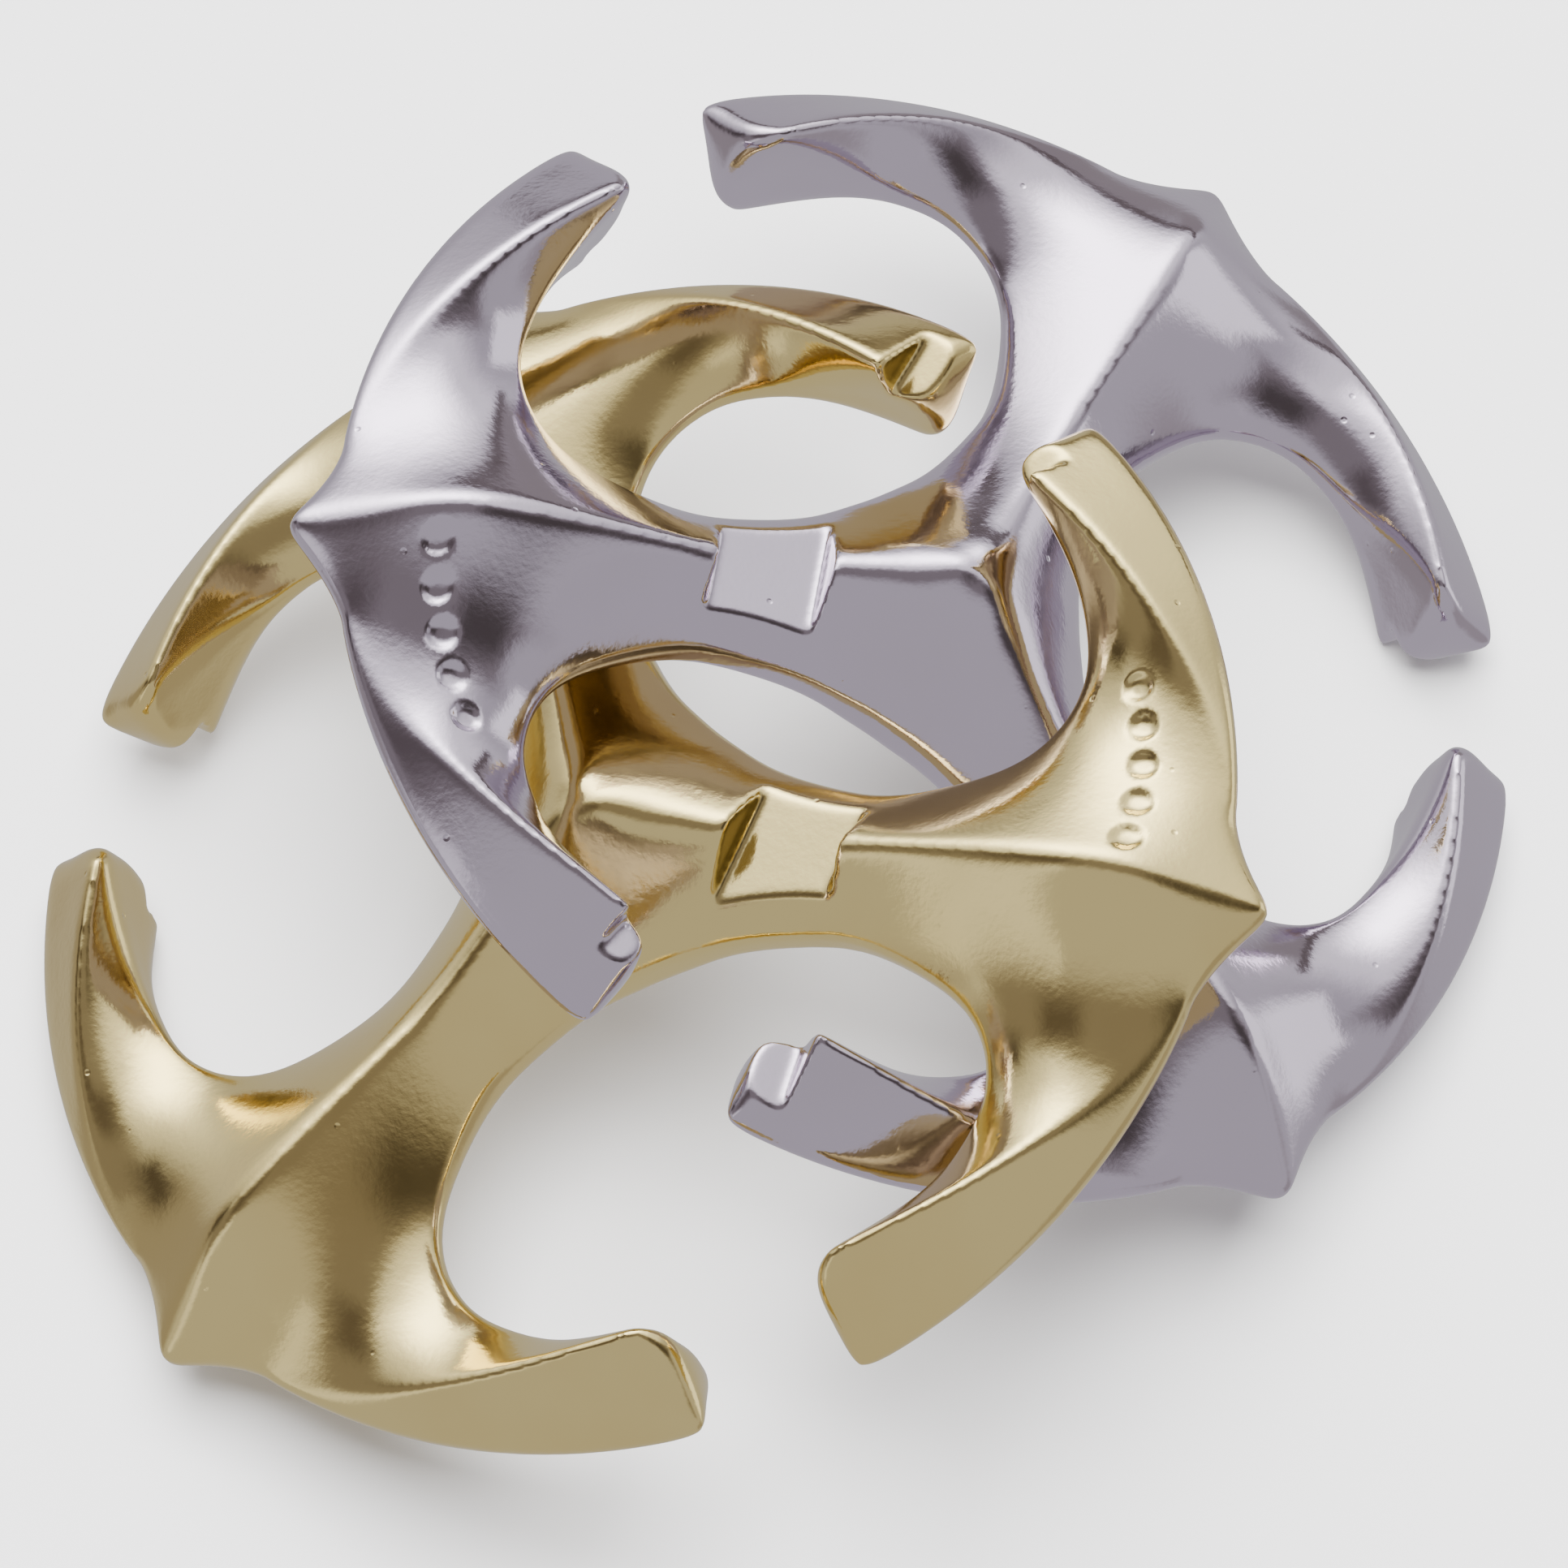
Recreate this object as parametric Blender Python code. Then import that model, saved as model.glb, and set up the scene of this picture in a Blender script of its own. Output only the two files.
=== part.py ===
"""Metal ring disentanglement puzzle: two identical cast rotors, hooked through each other.

Each rotor is one zinc die casting: a three-armed hub whose arms end in a pointed spike and two
curved flukes. The six flukes lie on one ring and leave three gaps, and between the arms are three
holes. A slot crosses the first arm, and five of the six fluke tips are notched.

Units are metres, +Z is up. The origin is under the middle of the pair, on the table it lies on.
"""
import math

import bmesh
import bpy
import numpy as np
from mathutils import Matrix, Vector
from mathutils.bvhtree import BVHTree

# The ring of flukes
ring_radius = 0.02495          # centre to the outer edge of the flukes
spike_length = 0.00205         # how far each spike stands out past the ring
flare_angle = 10.0             # degrees from the arm over which the edge sweeps out to the spike
tip_angle = 53.0               # degrees from the arm's middle line to the end face of a fluke
tip_width = 0.0036             # fluke tip, from the outer edge to the inner wall
tip_half_thickness = 0.00307   # fluke tip, from the middle plane to its front corner
ridge_angle = 9.0              # degrees from the arm where the fluke's front ridge begins
edge_half_thickness = 0.00035  # half the blunt band along the outer edge

# The arms and the hub
hub_radius = 0.0058            # centre to the hole edge, midway between two arms
hub_half_thickness = 0.00534   # middle plane to the point at the centre
hub_corner_reach = 0.00546     # from the centre, along an arm, to where the hub becomes the arm
hub_corner_half_width = 0.00383
neck_reach = 0.0100            # from the centre to the thinnest place of an arm
neck_half_width = 0.00311
neck_flare = 0.00015           # how much wider, each side, the arm still is at the neck's start
neck_start, neck_end = 0.8, 1.08     # the straight neck, as shares of its reach
neck_half_thickness = 0.00311
hub_edge_half_thickness = 0.0009    # half the wall of a hole, midway between two arms
neck_edge_half_thickness = 0.0006   # the same beside an arm
root_edge_half_thickness = 0.0004   # the same where the arm becomes a fluke
shoulder_inset = 0.00495       # from the ring's edge inward to the arm's thickest place
shoulder_half_thickness = 0.0041
root_angle = 17.8              # degrees from the arm where its side turns into the fluke
root_width = 0.00873           # the ring's width there

# The slot across the first arm, on its front
slot_middle_reach = 0.00795    # from the centre to the middle of the slot
slot_length = 0.00445          # along the arm
slot_floor_height = 0.00175    # above the middle plane
slot_skew = 11.5               # degrees
slot_overreach = 3.0           # length of the slot's cutter across the arm, in widths of the arm

# The notches in the fluke tips
notch_angle = 4.4              # degrees of ring that a notch takes
clearance_past_tip = 0.0015    # how far a notch's cutter reaches past the fluke
front_notch_floors = {("a", 1): 0.0018, ("b", -1): 0.0010}
back_notch_floor = 0.0014
back_notches = (("a", -1), ("b", 1), ("c", -1))

# The mesh
arm_angles = {"a": 0.0, "b": 120.0, "c": 240.0}
hub_steps, arm_steps, shoulder_steps, flare_steps, fluke_steps = 3, 5, 7, 3, 8
row_count = 5
outline_samples = 400
strip_rows = 2
end_columns = 2
fullness = 70.0                # outward bulge of the front and back faces, per metre

# Shape of the curves, as (share of the way, share of the size)
spike_profile = ((0.28, 0.89), (0.57, 0.57), (0.84, 0.27))
ridge_insets = (0.0, 0.19, 0.44, 0.69, 0.89, 1.0)
ridge_heights = (0.1, 0.29, 0.64, 0.87, 1.0, 1.0)
wall_widths = (1.0, 0.62, 0.345, 0.22, 0.146, 0.086, 0.0)
wall_heights = (0.1, 0.1, 0.1, 0.16, 0.33, 0.63, 1.0)
wall_angles = (0.0, 0.105, 0.264, 0.443, 0.588, 0.764, 1.0)
hub_lead = (0.2, 0.05)         # where the hole's edge comes from before it crosses the midway line
crest_power = 1.7              # how sharply the arms' crests rise to the centre
shoulder_power = 1.3           # how the mesh's stations crowd towards the spike

# How the two rotors lie, each leaning on the other and on the table
gold_place = (-0.005965, -0.004678, 0.009696)
gold_turn = (7.2, -16.7, -16.0)      # degrees about X, Y and Z
silver_place = (0.006515, 0.004672, 0.010536)
silver_turn = (0.2, -21.3, -178.5)
swing_line = (0.0010, 0.0, 0.0105)   # the silver rotor swings open about a line along Y here
rotor_gap = 0.00028                  # the least that is left between the two castings
opening_step = 1.0                   # degrees by which a rotor that doesn't fit is swung open
opening_limit = 85.0
test_scale = 1000.0                  # Blender's overlap test is too coarse for small triangles

gold_colour = (0.86, 0.72, 0.33, 1.0)
silver_colour = (0.65, 0.60, 0.69, 1.0)
plating_roughness = 0.12
crease_angle = 35.0            # degrees past which an edge is shaded sharp


def smooth_through(xs, ys, x):
    """Monotone cubic through the points (xs, ys), read at x."""
    xs, ys, x = np.asarray(xs, float), np.asarray(ys, float), np.asarray(x, float)
    h = np.diff(xs)
    d = np.diff(ys) / h
    m = np.zeros(len(xs))
    for k in range(1, len(xs) - 1):
        if d[k - 1] * d[k] > 0:
            w1, w2 = 2 * h[k] + h[k - 1], h[k] + 2 * h[k - 1]
            m[k] = (w1 + w2) / (w1 / d[k - 1] + w2 / d[k])
    m[0], m[-1] = d[0], d[-1]
    k = np.clip(np.searchsorted(xs, x) - 1, 0, len(h) - 1)
    t = (x - xs[k]) / h[k]
    return (ys[k] * (1 + 2 * t) * (1 - t) ** 2 + h[k] * m[k] * t * (1 - t) ** 2
            + ys[k + 1] * t * t * (3 - 2 * t) - h[k] * m[k + 1] * t * t * (1 - t))


def crest_height(x):
    """Height of the ridge along the front of an arm, at distance x from the centre."""
    spike_reach = ring_radius + spike_length
    shoulder = ring_radius - shoulder_inset
    run = spike_reach - shoulder
    xs = [neck_reach, shoulder] + [shoulder + s * run for s, _ in spike_profile] + [spike_reach]
    zs = ([neck_half_thickness, shoulder_half_thickness]
          + [share * shoulder_half_thickness for _, share in spike_profile] + [edge_half_thickness])
    rise = (hub_half_thickness - neck_half_thickness) * np.clip(1 - x / neck_reach, 0, 1) ** crest_power
    return np.where(x < neck_reach, neck_half_thickness + rise, smooth_through(xs, zs, x))


def rim_radius(angle):
    """Radius of the outer edge at an angle from the arm, in degrees."""
    return ring_radius + spike_length * np.clip(1 - angle / flare_angle, 0, 1) ** 2


def polar(radius, angle):
    return radius * np.cos(np.radians(angle)), radius * np.sin(np.radians(angle))


def front_ridge(share):
    """Point of the fluke's front ridge, a share of the way from its start to the tip."""
    angle = ridge_angle + share * (tip_angle - ridge_angle)
    knots = np.linspace(0, 1, len(ridge_insets))
    inset = tip_width * smooth_through(knots, ridge_insets, share)
    x, y = polar(rim_radius(angle) - inset, angle)
    z = tip_half_thickness * smooth_through(knots, ridge_heights, share)
    return x, y, np.maximum(z, edge_half_thickness)


def hole_outline():
    """The edge of a hole from midway between two arms to the tip, as points (x, y, height)."""
    hx, hy = polar(hub_radius, 60.0)
    before = (hx - hub_lead[0] * hub_radius, hy + hub_lead[1] * hub_radius)
    points = [before, (hx, hy), (hub_corner_reach, hub_corner_half_width),
              (neck_start * neck_reach, neck_half_width + neck_flare),
              (neck_end * neck_reach, neck_half_width)]
    heights = [hub_edge_half_thickness] * 2 + [neck_edge_half_thickness] * 3
    for share, width_share, height_share in zip(wall_angles, wall_widths, wall_heights):
        angle = root_angle + share * (tip_angle - root_angle)
        width = tip_width + width_share * (root_width - tip_width)
        points.append(polar(ring_radius - width, angle))
        heights.append(max(height_share * tip_half_thickness, root_edge_half_thickness))
    return np.array(points), np.array(heights)


def hole_edge():
    """The hole's edge as a function: a share of its length gives a point (x, y, height)."""
    points, heights = hole_outline()
    spans = np.sqrt(np.linalg.norm(np.diff(points, axis=0), axis=1))
    knots = np.concatenate([[0], np.cumsum(spans)])
    t = np.linspace(knots[1], knots[-1], outline_samples)
    slopes = np.gradient(points, knots, axis=0)
    k = np.clip(np.searchsorted(knots, t) - 1, 0, len(knots) - 2)
    h = (knots[k + 1] - knots[k])[:, None]
    s = (t - knots[k])[:, None] / h
    xy = (points[k] * (1 + 2 * s) * (1 - s) ** 2 + h * slopes[k] * s * (1 - s) ** 2
          + points[k + 1] * s * s * (3 - 2 * s) - h * slopes[k + 1] * s * s * (1 - s))
    curve = np.column_stack([xy, smooth_through(knots, heights, t)])
    length = np.concatenate([[0], np.cumsum(np.linalg.norm(np.diff(xy, axis=0), axis=1))])
    length /= length[-1]

    def at(share):
        return np.array([np.interp(share, length, column) for column in curve.T])

    return at, curve, length


def guides():
    """Outer and inner guide of the front face of half an arm, station by station."""
    at, curve, length = hole_edge()
    angle = np.degrees(np.arctan2(curve[:, 1], curve[:, 0]))
    turned = np.argmax(curve[:, 0] > neck_end * neck_reach)
    past_neck = np.arange(len(curve)) > turned

    def share_at(wall_angle):
        """Share of the edge's length where it passes an angle given as in wall_angles."""
        wanted = root_angle + wall_angle * (tip_angle - root_angle)
        return length[np.argmax(past_neck & (angle > wanted))]

    neck, spike, flare = length[turned], share_at(wall_angles[1]), share_at(wall_angles[2])
    outer, inner = [], []
    # The hub, where the inner guide runs along the line midway between two arms
    for step in range(hub_steps):
        x = curve[0, 0] * step / hub_steps
        outer.append((x, 0.0, float(crest_height(x))))
        inner.append((x, x * math.tan(math.radians(60)), float(crest_height(x))))
    # The thin part of the arm
    for step in range(arm_steps):
        point = at(neck * step / arm_steps)
        inner.append(point)
        outer.append((point[0], 0.0, float(crest_height(point[0]))))
    # The crest runs on to the spike's point, the hole's edge turns into the fluke
    start, reach = at(neck)[0], ring_radius + spike_length
    for step in range(shoulder_steps):
        t = step / shoulder_steps
        x = start + (reach - start) * (1 - (1 - t) ** shoulder_power)
        outer.append((x, 0.0, float(crest_height(x))))
        inner.append(at(neck + t * (spike - neck)))
    # The flare beside the spike
    for step in range(flare_steps):
        t = step / flare_steps
        outer.append((*polar(rim_radius(ridge_angle * t), ridge_angle * t), edge_half_thickness))
        inner.append(at(spike + t * (flare - spike)))
    # The fluke, along its front ridge
    for step in range(fluke_steps + 1):
        t = step / fluke_steps
        outer.append(front_ridge(t))
        inner.append(at(flare + t * (1 - flare)))
    inner[-1] = outer[-1]
    return np.array(outer, float), np.array(inner, float)


def front_grid():
    """Grid of points of the front face of half an arm: stations along it, rows across it."""
    outer, inner = guides()
    share = np.linspace(0, 1, row_count + 1)[None, :, None]
    grid = outer[:, None] * (1 - share) + inner[:, None] * share
    stretch_skin(grid)
    return grid


def stretch_skin(grid):
    """Gives the grid the heights of a skin stretched over its guides and blown out a little.

    The skin is free along the line midway between two arms, where its mirror image goes on.
    """
    stations, rows = grid.shape[:2]
    number = np.arange(stations * rows).reshape(stations, rows)
    held = np.zeros((stations, rows), bool)
    held[:, 0] = held[0] = held[-1] = held[hub_steps:, -1] = True
    a, b, c, d = number[:-1, :-1], number[1:, :-1], number[1:, 1:], number[:-1, 1:]
    triangles = np.concatenate([np.stack(t, -1).reshape(-1, 3)
                                for t in ((a, b, c), (a, c, d), (a, b, d), (b, c, d))])
    plan = grid[..., :2].reshape(-1, 2)
    corners = plan[triangles]
    edges = np.roll(corners, -1, axis=1) - np.roll(corners, 1, axis=1)
    twice_area = np.abs(edges[:, 0, 0] * edges[:, 1, 1] - edges[:, 0, 1] * edges[:, 1, 0])
    real = twice_area > 1e-12
    triangles, edges, twice_area = triangles[real], edges[real], twice_area[real]
    stiffness = np.zeros((plan.shape[0],) * 2)
    load = np.zeros(plan.shape[0])
    for i in range(3):
        np.add.at(load, triangles[:, i], fullness * twice_area / 6)
        for j in range(3):
            weight = (edges[:, i] * edges[:, j]).sum(axis=1) / (2 * twice_area)
            np.add.at(stiffness, (triangles[:, i], triangles[:, j]), weight)
    height = grid[..., 2].reshape(-1).copy()
    held = held.reshape(-1)
    free = ~held
    pull = load[free] - stiffness[np.ix_(free, held)] @ height[held]
    height[free] = np.linalg.solve(stiffness[np.ix_(free, free)], pull)
    grid[..., 2] = height.reshape(stations, rows)


class Shell:
    """Faces of one rotor, gathered patch by patch."""

    def __init__(self):
        self.faces = []

    def add(self, loop):
        """One face, given as its corner points in order."""
        clean = [p for k, p in enumerate(loop) if np.linalg.norm(p - loop[k - 1]) > 1e-7]
        if len(clean) > 2:
            self.faces.append([np.asarray(p, float) for p in clean])

    def add_grid(self, grid):
        """Quads over a grid of points, whose front is on the left of its first row."""
        for i in range(len(grid) - 1):
            for j in range(len(grid[0]) - 1):
                quad = [grid[i][j], grid[i + 1][j], grid[i + 1][j + 1], grid[i][j + 1]]
                self.add([quad[0], quad[1], quad[2]])
                self.add([quad[0], quad[2], quad[3]])


def quarter_faces():
    """Faces of the front, counter-clockwise quarter of one arm, pointing out."""
    shell = Shell()
    grid = front_grid()
    first_fluke = len(grid) - 1 - fluke_steps
    first_rim = first_fluke - flare_steps
    shell.add_grid([list(row) for row in grid])
    # The outer face of the fluke, from its front ridge down to the rim
    strip = []
    rim = [grid[k][0] for k in range(first_rim, first_fluke + 1)]
    for step in range(fluke_steps + 1):
        angle = ridge_angle + (tip_angle - ridge_angle) * step / fluke_steps
        x, y = polar(float(rim_radius(angle)), angle)
        foot = np.array([x, y, edge_half_thickness])
        top = grid[first_fluke + step][0]
        if step == 0:
            foot = top
        else:
            rim.append(foot)
        strip.append([foot + (top - foot) * k / strip_rows for k in range(strip_rows + 1)])
    shell.add_grid(strip)
    # The blunt band along the rim
    flat = np.array([1, 1, 0])
    shell.add_grid([[p * flat, p] for p in rim])
    # The wall of the hole, in rows at the heights of the end face's rows
    end = strip[-1][::-1] + [rim[-1] * flat]
    shares = [p[2] / end[0][2] for p in end]
    wall = [[p * np.array([1, 1, share]) for share in shares] for p in grid[hub_steps:, -1]]
    shell.add_grid(wall)
    # The end face of the fluke
    across = np.linspace(0, 1, end_columns + 1)
    shell.add_grid([[a + (b - a) * share for share in across] for a, b in zip(end, wall[-1])])
    return shell.faces


def rotor_faces():
    """Faces of a whole rotor: the quarter mirrored to the other side and to the back, three times."""
    faces = []
    quarter = quarter_faces()
    for angle in arm_angles.values():
        c, s = math.cos(math.radians(angle)), math.sin(math.radians(angle))
        turn = np.array([[c, -s, 0], [s, c, 0], [0, 0, 1]])
        for side in (1, -1):
            for front in (1, -1):
                for loop in quarter:
                    points = [turn @ (p * np.array([1, side, front])) for p in loop]
                    faces.append(points if side * front > 0 else points[::-1])
    return faces


def clear_scene():
    for thing in list(bpy.data.objects):
        bpy.data.objects.remove(thing, do_unlink=True)


def metal(name, colour):
    """A plated, polished die casting."""
    material = bpy.data.materials.new(name)
    material.use_nodes = True
    shader = material.node_tree.nodes["Principled BSDF"]
    shader.inputs["Base Color"].default_value = colour
    shader.inputs["Metallic"].default_value = 1.0
    shader.inputs["Roughness"].default_value = plating_roughness
    return material


def rotor_mesh(name):
    """The rotor before its slot and notches are cut."""
    mesh = bpy.data.meshes.new(name)
    shape = bmesh.new()
    for loop in rotor_faces():
        shape.faces.new([shape.verts.new(p) for p in loop])
    bmesh.ops.remove_doubles(shape, verts=shape.verts, dist=1e-6)
    bmesh.ops.dissolve_degenerate(shape, edges=shape.edges, dist=1e-7)
    bmesh.ops.recalc_face_normals(shape, faces=shape.faces)
    shape.to_mesh(mesh)
    shape.free()
    mesh.shade_smooth()
    mesh.set_sharp_from_angle(angle=math.radians(crease_angle))
    return mesh


def cutter(name, size, corner, angle, parent):
    """A box that cuts a rotor: its lowest corner in a frame turned about Z by angle, in degrees."""
    mesh = bpy.data.meshes.new(name)
    shape = bmesh.new()
    bmesh.ops.create_cube(shape, size=1.0)
    bmesh.ops.translate(shape, verts=shape.verts, vec=(0.5, 0.5, 0.5))
    bmesh.ops.scale(shape, verts=shape.verts, vec=size)
    bmesh.ops.translate(shape, verts=shape.verts, vec=corner)
    bmesh.ops.rotate(shape, verts=shape.verts, cent=(0, 0, 0),
                     matrix=Matrix.Rotation(math.radians(angle), 3, "Z"))
    shape.to_mesh(mesh)
    shape.free()
    box = bpy.data.objects.new(name, mesh)
    bpy.context.scene.collection.objects.link(box)
    box.parent = parent
    box.hide_render = True
    box.display_type = "WIRE"
    return box


def cut(rotor, box):
    """Takes a cutter's box out of a rotor."""
    boolean = rotor.modifiers.new(box.name, "BOOLEAN")
    boolean.operation = "DIFFERENCE"
    boolean.solver = "EXACT"
    boolean.object = box


def add_slot(rotor):
    """The slot across the ridge of the first arm, open to both sides."""
    width = slot_overreach * 2 * neck_half_width
    height = 2 * hub_half_thickness
    box = cutter(rotor.name + "_slot_cutter", (slot_length, width, height),
                 (-slot_length / 2, -width / 2, slot_floor_height), -slot_skew, rotor)
    box.location.x = slot_middle_reach
    cut(rotor, box)


def add_notch(rotor, arm, side, front, floor):
    """A notch in the tip of a fluke, on side 1 or -1 of its arm, from the front or the back."""
    inner = ring_radius - tip_width - clearance_past_tip
    radial = tip_width + 2 * clearance_past_tip
    length = ring_radius * math.radians(notch_angle) + clearance_past_tip
    height = 2 * tip_half_thickness
    corner = (inner, 0.0 if side > 0 else -length, floor if front > 0 else -floor - height)
    angle = arm_angles[arm] + side * (tip_angle - notch_angle)
    name = f"{rotor.name}_notch_{arm}_{'left' if side > 0 else 'right'}_cutter"
    cut(rotor, cutter(name, (radial, length, height), corner, angle, rotor))


def add_rotor(name, material, place, turn):
    """One finished rotor, lying where it lies."""
    mesh = rotor_mesh(name)
    mesh.materials.append(material)
    rotor = bpy.data.objects.new(name, mesh)
    bpy.context.scene.collection.objects.link(rotor)
    rotor.location = place
    rotor.rotation_euler = [math.radians(angle) for angle in turn]
    add_slot(rotor)
    for (arm, side), floor in front_notch_floors.items():
        add_notch(rotor, arm, side, 1, floor)
    for arm, side in back_notches:
        add_notch(rotor, arm, side, -1, back_notch_floor)
    return rotor


def solid(thing):
    """Corners, in world space, and triangles of an object as its modifiers leave it."""
    bpy.context.view_layer.update()
    mesh = thing.evaluated_get(bpy.context.evaluated_depsgraph_get()).data
    mesh.calc_loop_triangles()
    return ([thing.matrix_world @ vert.co for vert in mesh.vertices],
            [tuple(triangle.vertices) for triangle in mesh.loop_triangles])


def are_clear(one, other):
    """Whether two solids stay rotor_gap apart everywhere, tested on a larger copy of them."""
    bodies = [([point * test_scale for point in points], faces) for points, faces in (one, other)]
    trees = [BVHTree.FromPolygons(points, faces) for points, faces in bodies]
    if trees[0].overlap(trees[1]):
        return False
    reach = rotor_gap * test_scale
    sides = ((bodies[0][0], trees[1]), (bodies[1][0], trees[0]))
    return all(tree.find_nearest(point, reach)[0] is None for points, tree in sides
               for point in points)


def swing_open_until_clear(moving, still):
    """Swings one rotor about the swing line, a step at a time, until it fits past the other."""
    (points, faces), fixed = solid(moving), solid(still)
    base, pivot = moving.matrix_world.copy(), Vector(swing_line)
    for count in range(int(opening_limit / opening_step) + 1):
        turn = (Matrix.Translation(pivot)
                @ Matrix.Rotation(math.radians(count * opening_step), 4, "Y")
                @ Matrix.Translation(-pivot))
        if are_clear(([turn @ point for point in points], faces), fixed):
            break
    moving.matrix_world = turn @ base


def stand_on_table(rotors, hinge):
    """Moves everything so that the pair stands on the table, its box centred on the origin."""
    points = np.array([point for rotor in rotors for point in solid(rotor)[0]])
    low, high = points.min(axis=0), points.max(axis=0)
    middle = (low + high) / 2
    shift = Matrix.Translation((-middle[0], -middle[1], -low[2]))
    for thing in (*rotors, hinge):
        thing.matrix_world = shift @ thing.matrix_world
    bpy.context.view_layer.update()


def add_hinge(name):
    """An empty on the line about which a piece swings."""
    hinge = bpy.data.objects.new(name, None)
    bpy.context.scene.collection.objects.link(hinge)
    hinge.location = swing_line
    return hinge


def build():
    clear_scene()
    gold = add_rotor("gold_rotor", metal("gold_plating", gold_colour), gold_place, gold_turn)
    silver = add_rotor("silver_rotor", metal("nickel_plating", silver_colour),
                       silver_place, silver_turn)
    hinge = add_hinge("silver_swing")
    swing_open_until_clear(silver, gold)
    stand_on_table((gold, silver), hinge)
    place = silver.matrix_world.copy()
    silver.parent = hinge
    silver.matrix_world = place


build()
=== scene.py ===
"""The looks of the metal ring disentanglement puzzle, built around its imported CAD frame.

Each rotor's CAD solid is replaced by a fine casting: the same shape worked out on a finer grid,
with its edges and corners rounded as a plated die casting's are. Sizes are in metres.
"""
import math

import bmesh
import bpy
import numpy as np
from mathutils import Euler, Matrix, Vector


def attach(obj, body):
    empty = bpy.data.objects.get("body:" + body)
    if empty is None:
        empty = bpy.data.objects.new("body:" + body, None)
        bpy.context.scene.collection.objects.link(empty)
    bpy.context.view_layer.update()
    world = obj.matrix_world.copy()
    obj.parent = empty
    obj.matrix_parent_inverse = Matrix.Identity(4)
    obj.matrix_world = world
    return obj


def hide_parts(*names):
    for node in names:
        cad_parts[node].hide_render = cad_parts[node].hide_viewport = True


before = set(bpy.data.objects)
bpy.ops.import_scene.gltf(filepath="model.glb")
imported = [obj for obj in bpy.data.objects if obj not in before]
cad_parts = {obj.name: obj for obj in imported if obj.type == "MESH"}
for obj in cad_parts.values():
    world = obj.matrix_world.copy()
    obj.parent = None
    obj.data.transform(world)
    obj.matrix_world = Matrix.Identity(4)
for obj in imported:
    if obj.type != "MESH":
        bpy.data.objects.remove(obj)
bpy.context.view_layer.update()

# The ring of flukes
ring_radius = 0.02495          # centre to the outer edge of the flukes
spike_length = 0.00205         # how far each spike stands out past the ring
flare_angle = 10.0             # degrees from the arm over which the edge sweeps out to the spike
tip_angle = 53.0               # degrees from the arm's middle line to the end face of a fluke
tip_width = 0.0036             # fluke tip, from the outer edge to the inner wall
tip_half_thickness = 0.00307   # fluke tip, from the middle plane to its front corner
ridge_angle = 9.0              # degrees from the arm where the fluke's front ridge begins
edge_half_thickness = 0.00035  # half the blunt band along the outer edge

# The arms and the hub
hub_radius = 0.0058            # centre to the hole edge, midway between two arms
hub_half_thickness = 0.00534   # middle plane to the point at the centre
hub_corner_reach = 0.00546     # from the centre, along an arm, to where the hub becomes the arm
hub_corner_half_width = 0.00383
neck_reach = 0.0100            # from the centre to the thinnest place of an arm
neck_half_width = 0.00311
neck_flare = 0.00015           # how much wider, each side, the arm still is at the neck's start
neck_start, neck_end = 0.8, 1.08     # the straight neck, as shares of its reach
neck_half_thickness = 0.00311
hub_edge_half_thickness = 0.0009    # half the wall of a hole, midway between two arms
neck_edge_half_thickness = 0.0006   # the same beside an arm
root_edge_half_thickness = 0.0004   # the same where the arm becomes a fluke
shoulder_inset = 0.00495       # from the ring's edge inward to the arm's thickest place
shoulder_half_thickness = 0.0041
root_angle = 17.8              # degrees from the arm where its side turns into the fluke
root_width = 0.00873           # the ring's width there

# The slot across the first arm, on its front
slot_middle_reach = 0.00795    # from the centre to the middle of the slot
slot_length = 0.00445          # along the arm
slot_floor_height = 0.00175    # above the middle plane
slot_skew = 11.5               # degrees
slot_overreach = 3.0           # length of the slot's cutter across the arm, in widths of the arm

# The notches in the fluke tips
notch_angle = 4.4              # degrees of ring that a notch takes
clearance_past_tip = 0.0015    # how far a notch's cutter reaches past the fluke
front_notch_floors = {("a", 1): 0.0018, ("b", -1): 0.0010}
back_notch_floor = 0.0014
back_notches = (("a", -1), ("b", 1), ("c", -1))

# The grid of half an arm: stations along each stretch of it, then rows across it
arm_angles = {"a": 0.0, "b": 120.0, "c": 240.0}
hub_steps, arm_steps, shoulder_steps, flare_steps, fluke_steps = 14, 24, 34, 14, 40
row_count = 22                 # across the front face
strip_rows = 10                # across a fluke's outer face
end_columns = 10               # across a fluke's end face
outline_samples = 4000
fullness = 70.0                # outward bulge of the front and back faces, per metre
smallest_edge = 1e-7           # shorter edges are left out
smallest_twice_area = 1e-12    # thinner triangles carry no skin
merge_distance = 1e-6

# Rounding and remeshing
rounding_share = 0.5           # how far a pass moves a point towards its neighbours' middle
rounding_passes = 80
end_rounding_passes = 90
rounding_step = 0.00015        # mesh spacing at which a rounding pass has its full effect
end_rounding_angle = 3.5       # degrees of ring over which the fluke ends are rounded more
end_rounding_depth = 1.5       # how far in from the ring's edge, in widths of the tip
thin_edge_height = 0.0012      # nearer the middle plane than this, edges are rounded less
thin_edge_share = 0.3
mm_per_metre = 1000            # the remeshing is done at this scale
voxel_mm = 0.11
last_rounding_passes = 28
kept_share = 0.5               # of the triangles

# A row of dimples across the first arm
dimple_count = 5
dimple_reach = 0.0217
dimple_angles = (3.6, 22.0)    # degrees from the arm, first and last
dimple_radius = 0.0007
dimple_depth = 0.0002

# The crest from the shoulder to the spike, as (share of the way, share of the height)
spike_profile = ((0.28, 0.89), (0.57, 0.57), (0.84, 0.27))
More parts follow.
